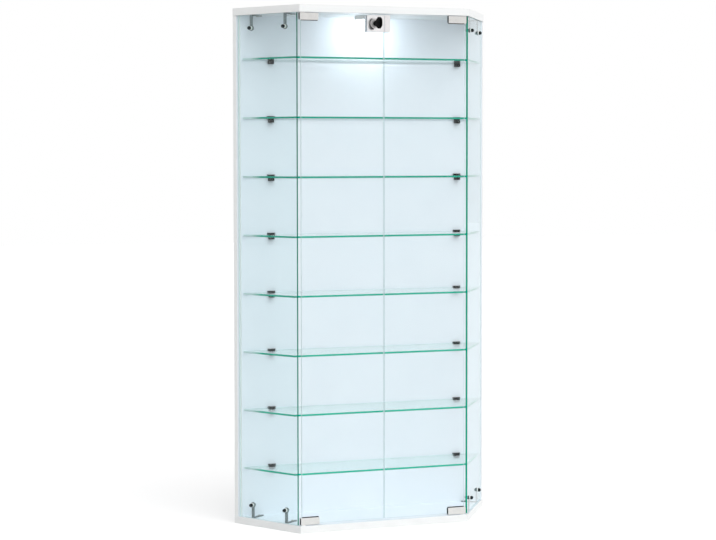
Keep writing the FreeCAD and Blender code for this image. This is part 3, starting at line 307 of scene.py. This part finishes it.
# Bright chrome over polished nickel: mirrors the room, with hairline polishing marks
polishedChrome = platedMetal(
    "chromePolished", "#d3d2d0", "#e0dfdd", gloss=(0.06, 0.14), grain=0.7, stretch=(0.1, 1, 1), relief=0.002
)
# The lock's plates are buffed to a mirror: they show the key and the room, a little blurred
mirrorChrome = platedMetal(
    "chromeBuffed", "#e6e4e5", "#f1efef", gloss=(0.12, 0.19), grain=0.7, stretch=(0.1, 1, 1), relief=0.001
)
# Satin chrome, brushed before plating: pale grey, blurs what it mirrors along the brush lines
satinChrome = platedMetal(
    "chromeBrushed", "#dddbda", "#e9e7e6", gloss=(0.3, 0.42), grain=0.5, stretch=(0.08, 1, 1), relief=0.004
)
# End faces of the hinge caps, sawn and left unpolished, with saw lines; their near black is painted shade and
# painted dark reflection
hingeCapEndPaintedShade = platedMetal(
    "steelHingeCapEndPaintedShade", "#0c0e0e", "#161919", gloss=(0.35, 0.5), grain=0.5, stretch=(1, 0.1, 1), relief=0.01
)
# Nickel plated strip steel: grey satin with rolling lines
nickelSteel = platedMetal(
    "nickelSteelRolled", "#6d7576", "#838a8b", gloss=(0.22, 0.36), grain=0.4,
    stretch=(1, 1, 0.08), relief=0.004,
)
# Zinc plated screw steel, tumbled: pale grey with dull patches
zincSteel = platedMetal(
    "zincSteelTumbled", "#a9aca8", "#bfc1bc", gloss=(0.28, 0.45), grain=0.5, stretch=(1, 1, 1), relief=0.006
)
# Dark nickel on a zinc casting: near black, satin, faintly grained by the mould
darkNickel = platedMetal(
    "darkNickelCast", "#15191b", "#202628", gloss=(0.28, 0.42), grain=0.9, stretch=(1, 1, 1), relief=0.008
)
# Black nickel bolt heads, turned: very dark with fine rings
blackNickel = platedMetal(
    "blackNickelTurned", "#252b2d", "#383f41", gloss=(0.12, 0.22), grain=0.5,
    stretch=(1, 1, 0.2), relief=0.003,
)
# Nickel plated brass plug, turned: grey with fine lathe rings
turnedNickel = platedMetal(
    "nickelPlugTurned", "#7d8080", "#939696", gloss=(0.18, 0.3), grain=0.4, stretch=(1, 0.1, 1), relief=0.004
)

# Moulded plastic, rubber and coatings: even colour with a fine grain; flow, grain and relief in millimetres
moulding = {"flow": 14}


def mouldedPlastic(name, low, high, gloss, grain, relief, shine=0.5):
    material, tree = startMaterial(name)
    coords = addNode(tree, "ShaderNodeTexCoord")
    spark = addNode(
        tree, "ShaderNodeTexNoise", {"Scale": perSize(grain), "Detail": 2}, {"Vector": (coords, "Object")}
    )
    flow = addNode(
        tree, "ShaderNodeTexNoise", {"Scale": perSize(moulding["flow"]), "Detail": 2},
        {"Vector": (coords, "Object")},
    )
    shade = addNode(
        tree, "ShaderNodeMix", {"data_type": "RGBA", 6: linear(low), 7: linear(high)}, {0: (flow, 0)}
    )
    smooth, rough = gloss
    sheen = addNode(tree, "ShaderNodeMapRange", {"To Min": smooth, "To Max": rough}, {"Value": (spark, 0)})
    bump = addNode(
        tree, "ShaderNodeBump", {"Strength": 0.4, "Distance": relief * mm}, {"Height": (spark, 0)}
    )
    shader = addNode(
        tree, "ShaderNodeBsdfPrincipled", {"IOR": 1.5, "Specular IOR Level": shine},
        {"Base Color": (shade, 2), "Roughness": (sheen, 0), "Normal": (bump, 0)},
    )
    addNode(tree, "ShaderNodeOutputMaterial", links={"Surface": (shader, 0)})
    return material


# ABS key bow, spark eroded mould: black with a dull gleam
blackAbs = mouldedPlastic(
    "blackAbsMoulded", "#010101", "#030303", gloss=(0.45, 0.6), grain=0.5, relief=0.02, shine=0.03
)
# EPDM rubber sheet, die cut: soft black
blackRubber = mouldedPlastic(
    "rubberSheetCut", "#161717", "#1f2121", gloss=(0.6, 0.75), grain=0.4, relief=0.02
)
# White nylon, moulded: slightly waxy
whiteNylon = mouldedPlastic(
    "whiteNylonMoulded", "#ecebe6", "#f3f2ee", gloss=(0.4, 0.5), grain=0.6, relief=0.01
)
# White powder coat on the lamp's pressed housing: orange peel
whitePowder = mouldedPlastic(
    "whitePowderCoat", "#efefed", "#f5f5f3", gloss=(0.35, 0.48), grain=1.8, relief=0.04
)
# White solder mask, printed on the light board: smooth and slightly warm
solderMask = mouldedPlastic(
    "whiteSolderMask", "#e9e8e0", "#f1f0ea", gloss=(0.3, 0.4), grain=0.8, relief=0.01
)

# Beech dowel, turned: pale brown with long grain
beech = {"dark": "#b58f63", "light": "#d3b086", "fibre": 0.8, "stretch": (1, 1, 0.06)}
beechDowel, tree = startMaterial("beechTurned")
coords = addNode(tree, "ShaderNodeTexCoord")
grain = addNode(tree, "ShaderNodeMapping", {"Scale": beech["stretch"]}, {"Vector": (coords, "Object")})
fibres = addNode(
    tree, "ShaderNodeTexNoise", {"Scale": perSize(beech["fibre"]), "Detail": 4}, {"Vector": (grain, 0)}
)
shade = addNode(
    tree, "ShaderNodeMix",
    {"data_type": "RGBA", 6: linear(beech["dark"]), 7: linear(beech["light"])}, {0: (fibres, 0)},
)
shader = addNode(tree, "ShaderNodeBsdfPrincipled", {"Roughness": 0.6}, {"Base Color": (shade, 2)})
addNode(tree, "ShaderNodeOutputMaterial", links={"Surface": (shader, 0)})

# Opal acrylic, cast and sanded: lit from behind, so it glows evenly
opalLamp = {"colour": "#fdfdf8", "glow": 0.8, "frost": 0.6, "sheen": (0.45, 0.6)}
opalAcrylic, tree = startMaterial("opalAcrylicCast")
coords = addNode(tree, "ShaderNodeTexCoord")
frost = addNode(
    tree, "ShaderNodeTexNoise", {"Scale": perSize(opalLamp["frost"]), "Detail": 2},
    {"Vector": (coords, "Object")},
)
smooth, rough = opalLamp["sheen"]
sheen = addNode(tree, "ShaderNodeMapRange", {"To Min": smooth, "To Max": rough}, {"Value": (frost, 0)})
shader = addNode(
    tree, "ShaderNodeBsdfPrincipled",
    {
        "Base Color": linear(opalLamp["colour"]),
        "Emission Color": linear(opalLamp["colour"]),
        "Emission Strength": opalLamp["glow"],
    },
    {"Roughness": (sheen, 0)},
)
addNode(tree, "ShaderNodeOutputMaterial", links={"Surface": (shader, 0)})
print("materials made:", len(bpy.data.materials))

# How meshes are worked: join in millimetres, angles in degrees, and how near a normal is to square on
meshWork = {"join": 0.002, "flatAngle": 0.5, "arrisAngle": 32, "sharpAngle": 38, "squareOn": 0.95}


def addPiece(name, work, materials, nodeName, flat):
    # turns the worked mesh into a piece that stands for its node and moves with its body
    mesh = bpy.data.meshes.new(name)
    work.to_mesh(mesh)
    work.free()
    if "custom_normal" in mesh.attributes:
        mesh.attributes.remove(mesh.attributes["custom_normal"])
    for material in materials:
        mesh.materials.append(material)
    for face in mesh.polygons:
        face.use_smooth = not flat
    piece = bpy.data.objects.new(name, mesh)
    bpy.context.scene.collection.objects.link(piece)
    if not flat:
        mesh.set_sharp_from_angle(angle=math.radians(meshWork["sharpAngle"]))
        even = piece.modifiers.new("even", "WEIGHTED_NORMAL")
        even.keep_sharp = True
    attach(piece, bodyOf[nodeName])
    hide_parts(nodeName)


def cleanCopy(nodeName):
    # the node's mesh with its seams joined and flat faces whole
    work = bmesh.new()
    work.from_mesh(nodes[nodeName].data)
    bmesh.ops.remove_doubles(work, verts=work.verts, dist=meshWork["join"] * mm)
    bmesh.ops.dissolve_limit(
        work, angle_limit=math.radians(meshWork["flatAngle"]), verts=work.verts, edges=work.edges
    )
    return work


def softenEdges(work, width, steps):
    turn = math.radians(meshWork["arrisAngle"])
    sharp = [edge for edge in work.edges if len(edge.link_faces) == 2 and edge.calc_face_angle() > turn]
    bmesh.ops.bevel(
        work, geom=sharp, offset=width * mm, offset_type="OFFSET", segments=steps, profile=0.5,
        affect="EDGES", clamp_overlap=True,
    )


def dressNode(nodeName, pieceName, materials, arris, steps=2, flat=False, choose=None):
    work = cleanCopy(nodeName)
    softenEdges(work, arris, steps)
    work.normal_update()
    for face in work.faces:
        face.material_index = choose(face.normal) if choose else 0
    addPiece(pieceName, work, materials, nodeName, flat)


def boardSide(normal):
    # which of a piece's materials a face takes, from the way it faces
    return 0 if abs(normal.z) > meshWork["squareOn"] else 1


def uprightSide(normal):
    return 0 if abs(normal.y) > meshWork["squareOn"] else 1


# the end faces of a hinge cap take the second material, painted near black as painted shade
def capEnd(normal):
    return 1 if abs(normal.x) > meshWork["squareOn"] else 0


# Boards
boards = {"arris": 0.7, "steps": 3}
for nodeName, pieceName, facing, choose in (
    ("top_board", "topBoard", whiteMelamine, boardSide),
    ("base_board", "baseBoard", interiorMelaminePaintedLight, boardSide),
    ("back_board", "backBoard", interiorMelaminePaintedLight, uprightSide),
):
    dressNode(nodeName, pieceName, [facing, whiteEdgeBand], boards["arris"], boards["steps"], choose=choose)
print("boards dressed")

# Glass: arris of each sheet in millimetres, and how far a rear or front edge has to face that way
glassWork = {"shelf": 0.2, "pane": 0.2, "door": 0.3, "steps": 1, "shelfRear": 0.5, "paneFront": -0.1}


def shelfSide(normal):
    # faces, then front and side edges, then the ground rear edge
    if abs(normal.z) > meshWork["squareOn"]:
        return 0
    return 2 if normal.y > glassWork["shelfRear"] else 1


def paneSide(normal, outward):
    # faces, then the front edge, then the other edges
    if abs(normal.dot(outward)) > meshWork["squareOn"]:
        return 0
    return 1 if normal.y < glassWork["paneFront"] else 2


shelfStem = "glass_shelf_"
for nodeName in sorted(name for name in nodes if name.startswith(shelfStem)):
    dressNode(
        nodeName, "glassShelf" + nodeName.removeprefix(shelfStem), [shelfGlass, shelfEdge, groundAndPaintedPaleEdge],
        glassWork["shelf"], glassWork["steps"], flat=True, choose=shelfSide,
    )
for side in ("left", "right"):
    paneFaces = nodes[f"{side}_side_pane"].data.polygons
    outward = max(paneFaces, key=lambda face: face.area).normal.copy()
    dressNode(
        f"{side}_side_pane", f"{side}SidePane", [paneGlass, paneEdgeShadedAndLit[side], groundAndPaintedPaleEdge],
        glassWork["pane"], glassWork["steps"], flat=True, choose=lambda normal: paneSide(normal, outward),
    )
    dressNode(
        f"{side}_door_glass", f"{side}DoorGlass", [doorGlass, doorEdgePaintedPale],
        glassWork["door"], glassWork["steps"], flat=True, choose=uprightSide,
    )
print("glass dressed")

# Hinge caps
hingeCap = {"arris": 0.45}
for side in ("left", "right"):
    for end in ("top", "base"):
        dressNode(
            f"{side}_hinge_cap_{end}", f"{side}HingeCap{end.title()}", [polishedChrome, hingeCapEndPaintedShade],
            hingeCap["arris"], choose=capEnd,
        )

# Lock and the rest of the hardware: node, piece, material, arris in millimetres
hardware = [
    ("lock_plate", "lockPlate", mirrorChrome, 0.5),
    ("strike_plate", "strikePlate", mirrorChrome, 0.5),
    ("lock_barrel", "lockBarrel", satinChrome, 0.3),
    ("lock_plug", "lockPlug", turnedNickel, 0.2),
    ("lock_nut", "lockRingNut", nickelSteel, 0.3),
    ("lock_case", "lockCase", satinChrome, 0.3),
    ("lock_cover", "lockCover", satinChrome, 0.25),
    ("strike_box", "strikeBox", nickelSteel, 0.4),
    ("lock_latch", "lockLatch", nickelSteel, 0.3),
    ("lock_drive", "lockDrive", nickelSteel, 0.15),
    ("key_blade", "keyBlade", nickelSteel, 0.2),
    ("key_bow", "keyBow", blackAbs, 0.25),
    ("pane_brackets_left", "paneBracketsLeft", nickelSteel, 0.3),
    ("pane_brackets_right", "paneBracketsRight", nickelSteel, 0.3),
    ("pane_bolts", "paneBolts", blackNickel, 0.2),
    ("pane_nuts", "paneNuts", polishedChrome, 0.3),
    ("pane_washers", "paneWashers", whiteNylon, 0.15),
    ("shelf_clamps_left", "shelfClampsLeft", darkNickel, 0.45),
    ("shelf_clamps_right", "shelfClampsRight", darkNickel, 0.45),
    ("lamp_housing", "lampHousing", whitePowder, 0.3),
    ("lamp_lens", "lampLens", opalAcrylic, 0.3),
    ("screw_caps", "screwCaps", whiteNylon, 0.2),
    ("hinge_bushes", "hingeBushes", whiteNylon, 0.2),
]
for nodeName, pieceName, material, arris in hardware:
    dressNode(nodeName, pieceName, [material], arris)
print("hardware dressed:", len(hardware), "nodes and the hinge caps")

# Cross head: shares of the head's radius and rise, from the seat up its crown, then the recess in it
crossHead = {
    "sides": 28, "crown": ((1, 0), (1, 0.3), (0.93, 0.68), (0.8, 0.92), (0.68, 1)),
    "arm": 0.55, "halfWidth": 0.13, "taper": 0.6, "floor": 0.3, "endDepth": 0.1,
}


def looseParts(nodeName):
    # corner points of each separate solid in a node
    work = cleanCopy(nodeName)
    left = set(work.verts)
    parts = []
    for first in work.verts:
        if first not in left:
            continue
        left.remove(first)
        waiting = [first]
        found = []
        while waiting:
            corner = waiting.pop()
            found.append(corner.co.copy())
            for edge in corner.link_edges:
                other = edge.other_vert(corner)
                if other in left:
                    left.remove(other)
                    waiting.append(other)
        parts.append(found)
    work.free()
    return parts


def ring(work, place, radius, height, sides):
    points = []
    for step in range(sides):
        turn = math.tau * step / sides
        corner = Vector((radius * math.cos(turn), radius * math.sin(turn), height))
        points.append(work.verts.new(place @ corner))
    return points


def crossScrew(work, place, head, rise, shank, length):
    # pan head with a cross recess; local Z points out of the head from its seat
    sides = crossHead["sides"]
    profile = [(shank, -length), (shank, 0)]
    profile += [(head * wide, rise * high) for wide, high in crossHead["crown"]]
    rings = [ring(work, place, radius, height, sides) for radius, height in profile]
    for low, high in zip(rings, rings[1:]):
        for step in range(sides):
            after = (step + 1) % sides
            work.faces.new((low[step], low[after], high[after], high[step]))
    work.faces.new(list(reversed(rings[0])))
    arm, half = head * crossHead["arm"], head * crossHead["halfWidth"]
    outline = [
        (arm, -half), (arm, half), (half, half), (half, arm), (-half, arm), (-half, half),
        (-arm, half), (-arm, -half), (-half, -half), (-half, -arm), (half, -arm), (half, -half),
    ]
    taper, depth = crossHead["taper"], rise * crossHead["floor"]
    mouth = [work.verts.new(place @ Vector((x, y, rise))) for x, y in outline]
    floor = [work.verts.new(place @ Vector((x * taper, y * taper, depth))) for x, y in outline]
    count = len(outline)
    for step in range(count):
        after = (step + 1) % count
        work.faces.new((mouth[after], mouth[step], floor[step], floor[after]))
    rim = []
    for loop in (rings[-1], mouth):
        rim += [work.edges.get(pair) for pair in zip(loop, loop[1:] + loop[:1])]
    bmesh.ops.triangle_fill(work, use_beauty=True, edges=rim, normal=place.to_3x3() @ Vector((0, 0, 1)))
    work.faces.new(floor)


def screwsFor(nodeName, pieceName, axis, rise):
    # replaces a node's plain screws by cross headed ones in the same places
    work = bmesh.new()
    direction = Vector(axis)
    reach = crossHead["endDepth"] * mm
    for points in looseParts(nodeName):
        heights = [point.dot(direction) for point in points]
        widths = {}
        for end in (min(heights), max(heights)):
            near = [point for point, height in zip(points, heights) if abs(height - end) < reach]
            middle = sum(near, Vector()) / len(near)
            centre = middle - direction * middle.dot(direction)
            widths[end] = max((point - direction * point.dot(direction) - centre).length for point in near)
        headEnd = max(widths, key=widths.get)
        tailEnd = min(widths, key=widths.get)
        out = direction if headEnd > tailEnd else -direction
        seat = centre + direction * headEnd - out * rise * mm
        place = Matrix.Translation(seat) @ out.to_track_quat("Z", "X").to_matrix().to_4x4()
        length = abs(headEnd - tailEnd) - rise * mm
        crossScrew(work, place, widths[headEnd], rise * mm, widths[tailEnd], length)
    bmesh.ops.recalc_face_normals(work, faces=work.faces)
    addPiece(pieceName, work, [zincSteel], nodeName, False)


# Screws whose heads show: node, piece, direction of the shank, rise of the head in millimetres
crossScrews = [
    ("bracket_screws", "bracketScrews", (0, 0, 1), 1.8),
    ("clamp_wall_screws", "clampWallScrews", (0, 1, 0), 1.4),
    ("lamp_screws", "lampScrews", (0, 0, 1), 1.8),
    ("lock_cover_screws", "lockCoverScrews", (0, 1, 0), 1.4),
    ("strike_screws", "strikeScrews", (0, 1, 0), 2.0),
]
for nodeName, pieceName, axis, rise in crossScrews:
    screwsFor(nodeName, pieceName, axis, rise)
print("screws made:", len(crossScrews), "nodes")

# Nodes whose own shape is right keep it and get their finish
plainNodes = {
    "carcase_screws": zincSteel, "clamp_set_screws": zincSteel, "left_hinge_set_screws": zincSteel,
    "right_hinge_set_screws": zincSteel, "left_hinge_pins": nickelSteel, "right_hinge_pins": nickelSteel,
    "left_hinge_liners": blackRubber, "right_hinge_liners": blackRubber, "lock_gaskets": blackRubber,
    "clamp_pads": blackRubber, "carcase_dowels": beechDowel, "lamp_light_board": solderMask,
}
for nodeName, material in plainNodes.items():
    nodes[nodeName].data.materials.clear()
    nodes[nodeName].data.materials.append(material)
print("plain nodes finished:", len(plainNodes))


def seenRays(tree):
    # 1 for what the camera sees straight on, through glass or in a mirror, and 0 for light on the object
    rays = addNode(tree, "ShaderNodeLightPath")
    direct = addNode(
        tree, "ShaderNodeMath", {"operation": "MAXIMUM"},
        {0: (rays, "Is Camera Ray"), 1: (rays, "Is Transmission Ray")},
    )
    return addNode(
        tree, "ShaderNodeMath", {"operation": "MAXIMUM"}, {0: (direct, 0), 1: (rays, "Is Glossy Ray")}
    )


# Studio floor paper, smooth: white where it is seen, keeps the soft shadow under the cabinet.
# Its size is in metres, its sink and fibre in millimetres.
floorLook = {"size": 24.0, "sink": 0.05, "fibre": 3, "light": "#cccccc", "dark": "#cacaca", "lift": 0.44}
whiteFloor, tree = startMaterial("studioFloorPaper")
coords = addNode(tree, "ShaderNodeTexCoord")
fibres = addNode(
    tree, "ShaderNodeTexNoise", {"Scale": perSize(floorLook["fibre"]), "Detail": 2},
    {"Vector": (coords, "Object")},
)
shade = addNode(
    tree, "ShaderNodeMix",
    {"data_type": "RGBA", 6: linear(floorLook["dark"]), 7: linear(floorLook["light"])}, {0: (fibres, 0)},
)
paper = addNode(tree, "ShaderNodeBsdfDiffuse", links={"Color": (shade, 2)})
lift = addNode(
    tree, "ShaderNodeMath", {"operation": "MULTIPLY", 1: floorLook["lift"]}, {0: (seenRays(tree), 0)}
)
lifted = addNode(tree, "ShaderNodeEmission", {"Color": linear("#ffffff")}, {"Strength": (lift, 0)})
both = addNode(tree, "ShaderNodeAddShader", links={0: (paper, 0), 1: (lifted, 0)})
addNode(tree, "ShaderNodeOutputMaterial", links={"Surface": (both, 0)})
floorMesh = bpy.data.meshes.new("studioFloor")
reach = floorLook["size"] / 2
corners = [(-reach, -reach, 0), (reach, -reach, 0), (reach, reach, 0), (-reach, reach, 0)]
floorMesh.from_pydata(corners, [], [range(len(corners))])
floorMesh.materials.append(whiteFloor)
studioFloor = bpy.data.objects.new("studioFloor", floorMesh)
studioFloor.location.z = -floorLook["sink"] * mm
bpy.context.scene.collection.objects.link(studioFloor)
print("floor laid")

# Studio light: a white room, a little light from in front, and a wide soft light high in front, to the right.
# What is seen of the room is plain white, whatever light it gives.
studio = {"level": 0.61, "fromRight": 0.1, "front": 0.45, "frontHigh": 5.2, "highRight": 1.0, "seen": 1.0}
world = bpy.data.worlds.new("studio")
bpy.context.scene.world = world
world.use_nodes = True
tree = world.node_tree
tree.nodes.clear()
coords = addNode(tree, "ShaderNodeTexCoord")
axes = addNode(tree, "ShaderNodeSeparateXYZ", links={0: (coords, "Generated")})
level = addNode(
    tree, "ShaderNodeMath", {"operation": "MULTIPLY_ADD", 1: studio["fromRight"], 2: studio["level"]},
    {0: (axes, "X")},
)
ahead = addNode(tree, "ShaderNodeMath", {"operation": "MINIMUM", 1: 0.0}, {0: (axes, "Y")})
ahead = addNode(tree, "ShaderNodeMath", {"operation": "MULTIPLY"}, {0: (ahead, 0), 1: (ahead, 0)})
level = addNode(
    tree, "ShaderNodeMath", {"operation": "MULTIPLY_ADD", 1: studio["front"]}, {0: (ahead, 0), 2: (level, 0)}
)
front = addNode(tree, "ShaderNodeMath", {"operation": "MULTIPLY", 1: -studio["frontHigh"]}, {0: (axes, "Y")})
front = addNode(tree, "ShaderNodeMath", {"operation": "MAXIMUM", 1: 0.0}, {0: (front, 0)})
high = addNode(tree, "ShaderNodeMath", {"operation": "MAXIMUM", 1: 0.0}, {0: (axes, "Z")})
high = addNode(tree, "ShaderNodeMath", {"operation": "MULTIPLY"}, {0: (high, 0), 1: (high, 0)})
aside = addNode(
    tree, "ShaderNodeMath", {"operation": "MULTIPLY_ADD", 1: studio["highRight"], 2: 1.0}, {0: (axes, "X")}
)
high = addNode(tree, "ShaderNodeMath", {"operation": "MULTIPLY"}, {0: (high, 0), 1: (aside, 0)})
level = addNode(
    tree, "ShaderNodeMath", {"operation": "MULTIPLY_ADD"}, {0: (front, 0), 1: (high, 0), 2: (level, 0)}
)
lit = addNode(tree, "ShaderNodeBackground", {"Color": linear("#ffffff")}, {"Strength": (level, 0)})
shown = addNode(tree, "ShaderNodeBackground", {"Color": linear("#ffffff"), "Strength": studio["seen"]})
mixed = addNode(tree, "ShaderNodeMixShader", links={0: (seenRays(tree), 0), 1: (lit, 0), 2: (shown, 0)})
addNode(tree, "ShaderNodeOutputWorld", links={"Surface": (mixed, 0)})

# The cabinet's own lamp: its frosted lens scatters light to all sides of the top compartment.
# Power in watts, radius and drop below the lens in millimetres.
lampGlow = {"power": 0.38, "colour": "#f4faff", "radius": 10, "drop": 12}
lensLow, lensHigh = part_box("lamp_lens")
glowData = bpy.data.lights.new("lampGlow", "POINT")
glowData.shadow_soft_size = lampGlow["radius"] * mm
glowData.energy = lampGlow["power"]
glowData.color = linear(lampGlow["colour"])[:3]
glow = bpy.data.objects.new("lampGlow", glowData)
lensMiddle = (lensLow + lensHigh) / 2
glow.location = (lensMiddle.x, lensMiddle.y, lensLow.z - lampGlow["drop"] * mm)
glow.visible_camera = glow.visible_glossy = glow.visible_transmission = False
bpy.context.scene.collection.objects.link(glow)
print("light set")

# Camera at the photograph's viewing angle: place in metres, angles in degrees, lens in millimetres
viewpoint = {
    "lens": 90.399, "sensor": 36, "shift": -0.05, "far": 200,
    "place": (-1.341184, -3.760474, 0.82633), "turn": 19.153, "dip": 2.645, "tilt": 0.068,
}
cameraData = bpy.data.cameras.new("camera")
cameraData.sensor_width = viewpoint["sensor"]
cameraData.lens = viewpoint["lens"]
cameraData.shift_y = viewpoint["shift"]
cameraData.clip_end = viewpoint["far"]
camera = bpy.data.objects.new("camera", cameraData)
camera.location = viewpoint["place"]
angles = (90 - viewpoint["dip"], viewpoint["tilt"], -viewpoint["turn"])  # at 90 it looks level
camera.rotation_euler = [math.radians(angle) for angle in angles]
bpy.context.scene.collection.objects.link(camera)
bpy.context.scene.camera = camera
print("camera set")

# A ray crosses many sheets of glass, so its path may be long
rayPaths = {"glass": 32, "gloss": 8}
bpy.context.scene.view_settings.view_transform = "Standard"
bpy.context.scene.cycles.max_bounces = rayPaths["glass"]
bpy.context.scene.cycles.transmission_bounces = rayPaths["glass"]
bpy.context.scene.cycles.transparent_max_bounces = rayPaths["glass"]
bpy.context.scene.cycles.glossy_bounces = rayPaths["gloss"]

bpy.context.view_layer.update()
